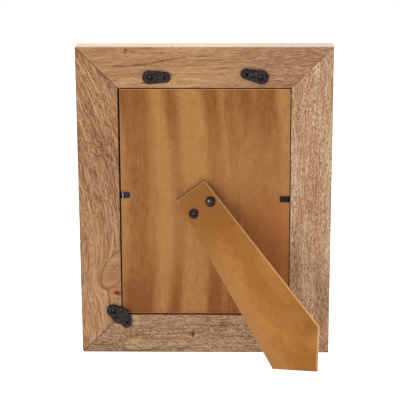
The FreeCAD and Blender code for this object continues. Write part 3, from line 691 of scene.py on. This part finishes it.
def left_figure(w, place, look):
    """The left stile: its grain leans over by 1.45 per m * (up - 55 mm)^2 and flows round an eye knot
    that the rabbet cuts, with a small red knot under it."""
    up, across, out = w.parts(place)
    above = w.maths("MAXIMUM", w.minus(up, 55 * mm), 0.0)
    lean_over = w.times(above, above, 1.45)
    swept = w.vector(up, w.minus(across, lean_over), out)
    eye = w.effect(knot, Vector=place, Centre=in_mm(69, 70.5, 0), Size=in_mm(16, 9.2, 30), Lean=0.42)
    red = w.effect(knot, Vector=place, Centre=in_mm(49.7, 69.3, 0), Size=in_mm(2.2, 2.6, 8), Lean=0.0)
    eye_push = w.vectors("SUBTRACT", eye["Vector"], place)
    red_push = w.vectors("SUBTRACT", red["Vector"], place)
    flow = w.vectors("ADD", w.vectors("ADD", swept, eye_push), red_push)
    quiet = w.ramp(up, 80 * mm, 130 * mm, 0.35, look["Dashes"])
    made = w.effect(timber, Vector=flow, **dict(look, Dashes=quiet))
    pale = w.noise(w.vectors("ADD", flow, (0.5, 0.3, 0.2)), (32, 680, 680), 3, 0.65)
    pale = w.times(w.ramp(pale, 0.5, 0.64), w.ramp(up, 130 * mm, 190 * mm, 0.36, 0.32))
    mottle = w.noise(flow, (420, 900, 900), 3, 0.65)
    clump = spot_mask(w, place, (168, 80, 0), (24, 14, 30))
    mottled = w.times(w.ramp(mottle, 0.46, 0.6), w.times(clump, 0.85))
    colour = w.blend(pale, made["Color"], paint(202, 166, 136))
    warm = ((186, 69, 0), (26, 8, 30), paint(168, 106, 58), 0.35)
    colour = spotted(w, colour, place, (warm,), core=0.0)
    colour = w.blend(mottled, colour, paint(92, 56, 34))
    ring = w.noise(w.vector(eye["Radius"], 0.3, 0.7), (9, 1, 1), 2, 0.6)
    heart = w.blend(w.ramp(ring, 0.35, 0.65), paint(170, 128, 86), paint(150, 110, 76))
    heart = w.blend(0.3, heart, made["Color"])
    inside = w.ramp(eye["Radius"], 0.9, 1, 0.95, 0)
    colour = w.blend(inside, colour, heart)
    rim = w.times(w.ramp(eye["Radius"], 0.88, 0.98), w.ramp(eye["Radius"], 0.98, 1.08, 0.75, 0))
    colour = w.blend(rim, colour, paint(118, 78, 50))
    colour = spotted(w, colour, place, (
        ((70.6, 70.7, 0), (3.2, 1.9, 6), paint(158, 92, 42), 0.9),
        ((71.6, 71.6, 0), (1.5, 0.6, 6), paint(112, 66, 38), 0.6),
        ((53, 69.6, 0), (6.5, 7, 8), paint(172, 96, 58), 0.65),
        ((49.6, 69, 0), (2.5, 4.4, 6), paint(74, 26, 24), 1.0),
    ))
    return colour, made["Height"], made["Deep"]


def bottom_figure(w, place, look):
    """The bottom rail: curly mottled grain that flows round one small brown knot."""
    brown = w.effect(knot, Vector=place, Centre=in_mm(-9.4, 15.5, 0), Size=in_mm(2, 2.2, 8), Lean=0.0)
    made = w.effect(timber, Vector=brown["Vector"], **look)
    colour = spotted(w, made["Color"], place, (
        ((-9.4, 15.8, 0), (1.7, 4.2, 6), paint(74, 38, 22), 0.95),
        ((20.8, 2.4, 0), (1.2, 0.9, 6), paint(72, 40, 30), 0.8),
        ((-12, 8, 0), (5, 5, 6), paint(146, 104, 74), 0.5),
    ))
    return colour, made["Height"], made["Deep"]


figures = {
    "top_rail": top_figure,
    "bottom_rail": bottom_figure,
    "left_stile": left_figure,
    "right_stile": right_figure,
}


def draw_rail_wood(look, figure, axes):
    """The drawing of one rail's wood: its figure, then on all four darker arrises, dark mitre joints, painted
    shade on the rabbet walls and along the bottom edge, and a painted sheen on the top face that gives way to
    painted shade at its far arris.
    """

    def draw(w):
        place = w.own_axes(axes)
        colour, height, deep = figure(w, place, look)
        arris = w.value_of("arris")
        mitre = w.value_of("mitre")
        colour = w.tint(colour, look["Vein"], arris, 0.3)
        across, up, out = w.parts(w.own_axes())
        joint = w.times(w.ramp(mitre, 0.1, 0.7), w.ramp(across, -20 * mm, 20 * mm, 0.8, 0.5))
        colour = w.blend(joint, colour, paint(78, 42, 24))
        # Painted shade on the rabbet walls inside the opening, near black from 1.6 mm below the back face
        from_middle = w.apart(up, frame_height / 2)
        between_rails = w.maths("LESS_THAN", from_middle, 91.8 * mm)
        inner = w.times(between_rails, w.maths("LESS_THAN", w.maths("ABSOLUTE", across), 66.5 * mm))
        behind = w.times(w.ramp(out, -1.6 * mm, -0.3 * mm, 0.8, 0), w.maths("GREATER_THAN", out, -8.5 * mm))
        colour = w.tint(colour, paint(26, 16, 12), inner, behind)
        # Painted shade along the bottom 1.4 mm of each rail, darkest at the floor
        colour = w.blend(w.ramp(up, 0.3 * mm, 1.4 * mm, 0.6, 0), colour, paint(66, 42, 28))
        # Painted sheen: the top face blends up to halfway towards a pale grey
        top_sheen = w.ramp(up, frame_height - 1.2 * mm, frame_height - 0.2 * mm, 0, 0.5)
        colour = w.blend(top_sheen, colour, paint(169, 163, 155))
        # At the top face's far arris the painted sheen gives way to painted shade, a darker tan
        far_arris_shade = w.times(top_sheen, w.ramp(out, -16.6 * mm, -14.2 * mm, 1.15, 0))
        colour = w.blend(far_arris_shade, colour, paint(168, 136, 104))
        rough = w.ramp(deep, 0, 1, 0.5, 0.75)
        return w.surface(colour, rough, height, 0.1 * mm, 0.6)

    return draw


wood_plain = {"IOR": 1.45, "Specular_IOR_Level": 0.2}
for name, look in wood_looks.items():
    draw_wood = draw_rail_wood(look, figures[name], stile_axes if name.endswith("stile") else frame_axes)
    rails[name].data.materials.append(material(name + "_wood", draw_wood, **wood_plain))

# Stain bands at the backing's top: middle and half widths of the core and the edge, in mm, and depth
stain_bands = (
    (-54.5, 5.5, 16.5, 0.95),
    (-26.5, 1, 8, 0.8),
    (4.5, 1.5, 10.5, 0.95),
    (19, 2, 8.5, 0.75),
    (29.5, 1, 7.5, 0.85),
    (44.5, 6, 15, 0.75),
)


def draw_backing(w):
    """Stain bands along the board, which bow to the right by 6 mm * (1 - ((up - 110 mm) / 100 mm)^2)
    and fade towards its middle, with a fine mottle, a few specks, lighter edges and painted shade down its
    sides."""
    place = w.own_axes()
    across, up, out = w.parts(place)
    from_bow = w.maths("DIVIDE", w.minus(up, 110 * mm), 100 * mm)
    bow = w.times(w.minus(w.times(from_bow, from_bow), 1.0), 6 * mm)
    waver = w.minus(w.noise(place, (60, 16, 60), 4, 0.65), 0.5)
    banded = w.plus(across, bow, w.times(waver, 7 * mm))
    bands = 0.08
    for *widths, depth in stain_bands:
        middle, core, reach = in_mm(*widths)
        off = w.apart(banded, middle)
        bands = w.plus(bands, w.ramp(off, core, reach, depth, 0))
    uneven = w.noise(place, (70, 18, 70))
    bands = w.maths("MINIMUM", w.times(bands, w.ramp(uneven, 0.35, 0.62, 0.85, 1.08)), 0.9)
    fade = w.ramp(w.apart(up, 125 * mm), 30 * mm, 85 * mm, 0.5, 1)
    fade = w.maths("MAXIMUM", fade, w.ramp(across, -46 * mm, -38 * mm, 0.78, 0))
    level = w.plus(w.times(bands, fade), w.ramp(up, 45 * mm, 95 * mm, 0.14, 0))
    fine = w.noise(place, (1000, 760, 1000), 3, 0.65)
    cloud = w.noise(place, (230, 130, 230), 4, 0.7)
    thread = w.noise(place, (600, 50, 600), 3, 0.65)
    patch = spot_mask(w, place, (42, 195, 0), (24, 24, 30))
    level = w.plus(level, w.minus(cloud, 0.5), w.times(w.minus(thread, 0.5), 0.6), w.times(patch, 0.15))
    level = w.maths("MINIMUM", w.maths("MAXIMUM", level, 0.0), 1.0)
    colour = w.blend(level, paint(177, 125, 70), paint(132, 75, 30))
    colour = w.blend(w.ramp(fine, 0.32, 0.68, 0, 0.34), colour, paint(122, 70, 32))
    colour = spotted(w, colour, place, (
        ((50, 84, 0), (44, 64, 60), paint(162, 82, 30), 0.38),
        ((-49, 174.7, -2), (0.8, 0.8, 2), paint(96, 52, 24), 0.6),
        ((-8.2, 202.7, -2), (0.6, 1.2, 2), paint(96, 52, 24), 0.6),
        ((31.8, 106.7, -2), (0.7, 0.7, 2), paint(96, 52, 24), 0.6),
    ))
    edge = w.value_of("edge")
    colour = w.tint(colour, paint(206, 156, 104), edge, 0.55)
    # Painted shade on the board's sides deeper than 2.6 mm below the back face, in the gap round it
    colour = w.blend(w.ramp(out, -3.6 * mm, -2.6 * mm, 0.75, 0), colour, paint(40, 24, 14))
    return w.surface(colour, w.ramp(fine, 0.3, 0.7, 0.42, 0.58), fine, 0.03 * mm, 0.25)


# How far each long side of the leg runs out per length, down to its foot
leg_flare = 0.0716
# On the leg's outer face, in mm: two rust-brown rings round the rivets, specks and a darker heel
leg_rings = [((x, -8.8272, 5.55), (6.4, 6.4, 5), paint(160, 84, 26), 0.6) for x in (-8.05, 8.05)]
leg_specks = (
    ((-12.4, -17.2, 5.55), (0.8, 0.8, 2), paint(96, 44, 26), 0.7),
    ((-12, -43.5, 5.55), (0.7, 0.7, 2), paint(110, 52, 30), 0.7),
    ((-10.6, -134, 5.55), (0.7, 0.7, 2), paint(96, 56, 24), 0.7),
    ((-12.6, -139, 5.55), (0.6, 0.6, 2), paint(104, 60, 26), 0.6),
    ((12.6, -32, 5.55), (1.8, 2.6, 2), paint(140, 84, 34), 0.7),
    ((17, -132, 5.55), (10, 8, 2), paint(138, 78, 32), 0.5),
)


def draw_leg(w):
    """Even golden stain with soft clouds, rust-brown rings round the rivets, a few specks, a darker upper end
    and a paler lower left flank; lighter edges with a painted highlight on the right side and the upper end,
    and painted shade on the upper end face."""
    place = w.own_axes(leg_axes, leg_origin)
    fine = w.noise(place, (800,) * 3, 2, 0.6)
    cloud = w.noise(place, (45, 22, 45), 3, 0.55)
    colour = w.blend(w.ramp(cloud, 0.32, 0.68), paint(183, 125, 58), paint(159, 101, 39))
    along_pin, up_leg, out = w.parts(place)
    colour = w.blend(w.ramp(up_leg, -70 * mm, 0, 0, 0.8), colour, paint(144, 90, 34))
    mottle = w.noise(place, (420, 140, 420), 4, 0.65)
    colour = w.blend(w.ramp(mottle, 0.42, 0.66, 0, 0.22), colour, paint(132, 82, 30))
    across = w.minus(along_pin, w.times(up_leg, leg_flare))
    # Paler towards the left flank on the lower leg
    left_flank = w.ramp(across, -12.5 * mm, 1 * mm, 0.5, 0)
    paler_flank = w.times(left_flank, w.ramp(up_leg, -60 * mm, -25 * mm, 1, 0))
    colour = w.blend(paler_flank, colour, paint(167, 117, 75))
    colour = w.blend(w.ramp(fine, 0.3, 0.7, 0, 0.24), colour, paint(122, 74, 30))
    colour = spotted(w, colour, place, leg_rings, core=0.5)
    colour = spotted(w, colour, place, leg_specks)
    # Lighter raw edges, with a painted highlight on the arrises of the right side and the upper end only
    right_side, upper_end = w.ramp(along_pin, 3 * mm, 5 * mm), w.ramp(up_leg, 4.5 * mm, 6 * mm)
    lit_side = w.maths("MAXIMUM", right_side, upper_end)
    edge = w.times(w.ramp(w.value_of("edge"), 0.45, 0.95), lit_side)
    colour = w.tint(colour, paint(212, 164, 118), edge, 0.6)
    # Painted shade on the upper end face, below its arris
    below_arris = w.ramp(out, leg_outer_face - 0.8 * mm, leg_outer_face - 0.4 * mm, 1, 0)
    shaded_end_face = w.times(w.ramp(up_leg, 6.4 * mm, 7 * mm), below_arris)
    colour = w.tint(colour, paint(84, 46, 20), shaded_end_face, 0.9)
    return w.surface(colour, w.ramp(fine, 0.3, 0.7, 0.42, 0.58), fine, 0.03 * mm, 0.5)


board_plain = {"IOR": 1.45, "Specular_IOR_Level": 0.18}
backing.data.materials.append(material("stained_backing", draw_backing, **board_plain))
leg.data.materials.append(material("stained_leg", draw_leg, **board_plain))


def dress(node, made):
    """Gives a node of the part one material."""
    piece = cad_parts[node]
    piece.data.materials.clear()
    piece.data.materials.append(made)


def draw_metal(w, given):
    """Blackened metal: lumps as from a casting, a fine grit, and small rubbed spots."""
    lump = w.noise(given["Vector"], (420,) * 3)
    grit = w.noise(given["Vector"], (2400,) * 3, 2, 0.6)
    worn = w.noise(given["Vector"], (900,) * 3, 3, 0.7)
    colour = w.blend(w.ramp(lump, 0.35, 0.7), given["Dark"], given["Light"])
    rubbed = w.times(w.ramp(worn, 0.62, 0.72), given["Rubbed"])
    colour = w.blend(rubbed, colour, given["Bare"])
    height = w.plus(lump, w.times(grit, 0.25))
    return {"Color": colour, "Height": height, "Rough": w.ramp(grit, 0.3, 0.7, 0.42, 0.6)}


metal = effect(
    "metal",
    sockets(vector="Vector", colour="Dark Light Bare", value="Rubbed"),
    sockets(colour="Color", value="Height Rough"),
    draw_metal,
)


def draw_turned(w, given):
    """A round head of a given radius: 1 in a groove at Ring radii from its middle, 1 in the pit in
    its middle, and 1 at a painted glint beside the middle, each falling to 0 around."""
    away = w.vectors("SUBTRACT", given["Vector"], given["Centre"])
    away = w.vectors("DIVIDE", w.vectors("MULTIPLY", away, (1.0, 1.0, 0.0)), w.vector(*[given["Radius"]] * 3))
    radius = w.vectors("LENGTH", away)
    beside = w.vectors("LENGTH", w.vectors("SUBTRACT", away, (-0.12, 0.2, 0.0)))
    off_ring = w.apart(radius, given["Ring"])
    return {
        "Groove": w.ramp(off_ring, 0.05, 0.24, 1, 0),
        "Pit": w.ramp(radius, 0.12, 0.34, 1, 0),
        "Rubbed": w.ramp(beside, 0.08, 0.42, 1, 0),
    }


turned = effect(
    "turned",
    sockets(vector="Vector Centre", value="Radius Ring"),
    sockets(value="Groove Pit Rubbed"),
    draw_turned,
)


def head_finish(node, axes, origin, gloss, ring, groove, pit, rubbed):
    """A blackened round head; the last three arguments each hold a colour and its share, for its groove, its
    pit and a painted glint.
    """
    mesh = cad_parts[node].data
    points = np.empty(3 * len(mesh.vertices))
    mesh.vertices.foreach_get("co", points)
    own = (points.reshape(-1, 3) - origin) @ axes.T
    low, high = own.min(0), own.max(0)

    def draw(w):
        place = w.own_axes(axes, origin)
        made = w.effect(
            metal, Vector=place, Rubbed=0.25,
            Dark=paint(26, 20, 21), Light=paint(48, 40, 42), Bare=paint(110, 96, 94),
        )
        marks = w.effect(
            turned, Vector=place, Centre=tuple((low + high) / 2), Radius=(high[0] - low[0]) / 2, Ring=ring
        )
        colour = made["Color"]
        for mask, (tone, share) in (("Groove", groove), ("Pit", pit), ("Rubbed", rubbed)):
            colour = w.tint(colour, tone, marks[mask], share)
        return w.surface(colour, made["Rough"], made["Height"], 0.04 * mm, 0.6)

    dress(node, material(node + "_finish", draw, IOR=1.5, Specular_IOR_Level=gloss))


# Painted shade in the dimple near each button's tip: a near-black spot
button_dimple_shade = tuple(
    (centre, (1.7, 1.7, 8), paint(6, 4, 4), 0.9)
    for centre in ((-30.1, 222.3, 0), (32.2, 224.7, 0), (-61, 26, 0))
)


def draw_iron(w):
    """Black cast bronze, lumpy, with painted shade in the dimple near each tip."""
    place = w.own_axes()
    made = w.effect(
        metal, Vector=place, Rubbed=0.3,
        Dark=paint(28, 21, 20), Light=paint(64, 54, 52), Bare=paint(100, 88, 84),
    )
    colour = spotted(w, made["Color"], place, button_dimple_shade, core=0.5)
    return w.surface(colour, made["Rough"], made["Height"], 0.25 * mm, 0.7)


iron = material("button_iron", draw_iron, IOR=1.5, Specular_IOR_Level=0.12)


def draw_tab(w):
    """Black spring steel, blacker on the right tab, with painted shade at its root and a painted highlight
    along the left ridge.
    """
    place = w.own_axes()
    made = w.effect(
        metal, Vector=place, Rubbed=0.2,
        Dark=paint(30, 31, 32), Light=paint(48, 50, 50), Bare=paint(120, 122, 128),
    )
    across = w.parts(place)[0]
    colour = w.blend(w.ramp(across, 0, 10 * mm, 0, 0.75), made["Color"], paint(12, 9, 9))
    # Painted shade at each tab's root, where it leaves the wall
    root = w.ramp(w.maths("ABSOLUTE", across), 63.7 * mm, 64.2 * mm, 0, 0.95)
    colour = w.blend(root, colour, paint(6, 5, 6))
    # A painted highlight along the left tab's ridge
    off_ridge = w.apart(across, -63.3 * mm)
    colour = w.blend(w.ramp(off_ridge, 0.1 * mm, 0.4 * mm, 0.65, 0), colour, paint(220, 198, 198))
    return w.surface(colour, made["Rough"], made["Height"], 0.03 * mm, 0.6)


tab = material("tab_steel", draw_tab, IOR=1.5, Specular_IOR_Level=0.15)


def draw_hinge(w):
    """Blackened steel with many rubbed spots."""
    tones = dict(Dark=paint(40, 36, 34), Light=paint(58, 52, 50), Bare=paint(120, 112, 106))
    made = w.effect(metal, Vector=w.own_axes(), Rubbed=0.5, **tones)
    return w.surface(made["Color"], made["Rough"], made["Height"], 0.04 * mm, 0.7)


hinge_steel = material("hinge_steel", draw_hinge, IOR=1.5, Specular_IOR_Level=0.5)


def draw_card(w):
    """Blank card with a faint fibre."""
    fibre = w.noise(w.own_axes(), (900,) * 3)
    colour = w.blend(w.ramp(fibre, 0.3, 0.7), paint(228, 224, 214), paint(218, 212, 200))
    return w.surface(colour, w.ramp(fibre, 0.3, 0.7, 0.7, 0.85), fibre, 0.02 * mm, 0.4)


card.data.materials.append(material("blank_card", draw_card))


def draw_tongue(w):
    """Raw beech."""
    made = w.effect(timber, Vector=w.own_axes(), **tongue_look)
    rough = w.ramp(made["Deep"], 0, 1, 0.55, 0.75)
    return w.surface(made["Color"], rough, made["Height"], 0.08 * mm, 0.5)


tongue_wood = material("tongue_beech", draw_tongue)
finishes = {
    "turn_button": iron,
    "tab_": tab,
    "hinge": hinge_steel,
    "backing_rivet": hinge_steel,
    "mitre_tongue": tongue_wood,
}
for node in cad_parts:
    for start, made in finishes.items():
        if node.startswith(start):
            dress(node, made)
    if node.startswith("button_screw"):
        # Screw heads: painted shade in a ring inside the rim and in the middle recess, and a painted glint
        # beside the middle
        head_finish(
            node, frame_axes, frame_origin, 0.1, 0.6,
            groove=(paint(4, 3, 3), 0.97), pit=(paint(6, 5, 5), 0.6), rubbed=(paint(190, 176, 168), 0.4),
        )
# Domed rivet: painted shade round its rim, a slightly darker middle and a painted glint on the crown
head_finish(
    "leg_rivet_domed", leg_axes, leg_origin, 0.3, 0.95,
    groove=(paint(12, 9, 10), 0.8), pit=(paint(60, 50, 52), 0.3), rubbed=(paint(180, 150, 142), 0.55),
)
# Rolled rivet: painted shade in its ring, a rust-brown pit and a faint painted glint
head_finish(
    "leg_rivet_rolled", leg_axes, leg_origin, 0.2, 0.45,
    groove=(paint(14, 10, 10), 0.7), pit=(paint(130, 72, 40), 0.5), rubbed=(paint(120, 84, 70), 0.2),
)


def draw_glass(w):
    """Clear glass with hardly any haze."""
    haze = w.noise(w.own_axes(), (30, 30, 30))
    return {"Roughness": w.ramp(haze, 0.35, 0.75, 0, 0.03)}


glass_plain = {"Base_Color": (0.97, 0.99, 0.98, 1.0), "Transmission_Weight": 1.0, "IOR": 1.5}
glass = material("clear_glass", draw_glass, **glass_plain)
# Lamps shine through it: shadow rays meet a plain see-through shader
w = Wiring(glass.node_tree)
ends = {node.type: node for node in glass.node_tree.nodes}
clear = w.node("ShaderNodeBsdfTransparent", {"Color": (0.96, 0.98, 0.97, 1.0)}).outputs[0]
path = w.node("ShaderNodeLightPath").outputs["Is Shadow Ray"]
mix = w.node("ShaderNodeMixShader", {0: path, 1: ends["BSDF_PRINCIPLED"].outputs[0], 2: clear})
w.feed(ends["OUTPUT_MATERIAL"].inputs["Surface"], mix.outputs[0])
dress("glass_pane", glass)

for name, piece in rails.items():
    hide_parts(name)
    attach(piece, "frame")
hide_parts("backing_board")
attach(backing, "frame")
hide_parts("photo_insert")
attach(card, "frame")
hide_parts("easel_leg")
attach(leg, "leg")


# Studio

scene = bpy.context.scene
scene.view_settings.view_transform = "Standard"

camera_place = (0.02345, -1.19074, 0.26298)
camera_turns = (-1.30, -6.62, -0.07)
camera_data = bpy.data.cameras.new("camera")
camera_data.sensor_width = 36.0
camera_data.lens = 140.53
camera_data.clip_start, camera_data.clip_end = 0.05, 200.0
camera = bpy.data.objects.new("camera", camera_data)
yaw, pitch, roll = (math.radians(angle) for angle in camera_turns)
ahead = Vector((math.sin(yaw) * math.cos(pitch), math.cos(yaw) * math.cos(pitch), math.sin(pitch)))
level = Vector((math.cos(yaw), -math.sin(yaw), 0.0))
above = level.cross(ahead)
right = math.cos(roll) * level + math.sin(roll) * above
upward = -math.sin(roll) * level + math.cos(roll) * above
turned_to = Matrix((right, upward, -ahead)).transposed().to_4x4()
camera.matrix_world = Matrix.Translation(camera_place) @ turned_to
scene.collection.objects.link(camera)
scene.camera = camera

floor_half = 60.0
floor_mesh = bpy.data.meshes.new("floor")
floor_signs = ((-1, -1), (1, -1), (1, 1), (-1, 1))
floor_mesh.from_pydata([(x * floor_half, y * floor_half, 0) for x, y in floor_signs], [], [(0, 1, 2, 3)])
floor = bpy.data.objects.new("floor", floor_mesh)
scene.collection.objects.link(floor)


def draw_floor(w):
    """Plain pale: a little light of its own keeps it white."""
    return {"Base Color": (0.15, 0.15, 0.15, 1.0), "Emission Color": (1.0, 1.0, 1.0, 1.0)}


floor_plain = {"Roughness": 0.95, "Emission_Strength": 1.25, "Specular_IOR_Level": 0.0}
floor_mesh.materials.append(material("pale_floor", draw_floor, **floor_plain))


def lamp(name, place, aim, size, power):
    """A square soft light at a place, facing an aim."""
    data = bpy.data.lights.new(name, "AREA")
    data.shape = "SQUARE"
    data.size = size
    data.energy = power
    made = bpy.data.objects.new(name, data)
    made.location = place
    made.rotation_mode = "QUATERNION"
    made.rotation_quaternion = (Vector(aim) - Vector(place)).to_track_quat("-Z", "Y")
    scene.collection.objects.link(made)


lamp("side_light", (-1.7, -1.75, 0.4), (0.0, 0.0, 0.12), 1.2, 16.0)
lamp("top_light", (0.1, 0.35, 1.8), (0.0, 0.0, 0.2), 1.2, 60.0)

world = bpy.data.worlds.new("studio")
scene.world = world
world.use_nodes = True
w = Wiring(world.node_tree)
world.node_tree.nodes.clear()
# The camera sees white, and a dimmer sky lights the frame
seen = w.node("ShaderNodeBackground", {"Color": (1.0, 1.0, 1.0, 1.0), "Strength": 1.0}).outputs[0]
fill = w.node("ShaderNodeBackground", {"Color": (0.97, 0.985, 1.0, 1.0), "Strength": 0.42}).outputs[0]
path = w.node("ShaderNodeLightPath").outputs["Is Camera Ray"]
share = w.node("ShaderNodeMixShader", {0: path, 1: fill, 2: seen}).outputs[0]
w.node("ShaderNodeOutputWorld", {"Surface": share})
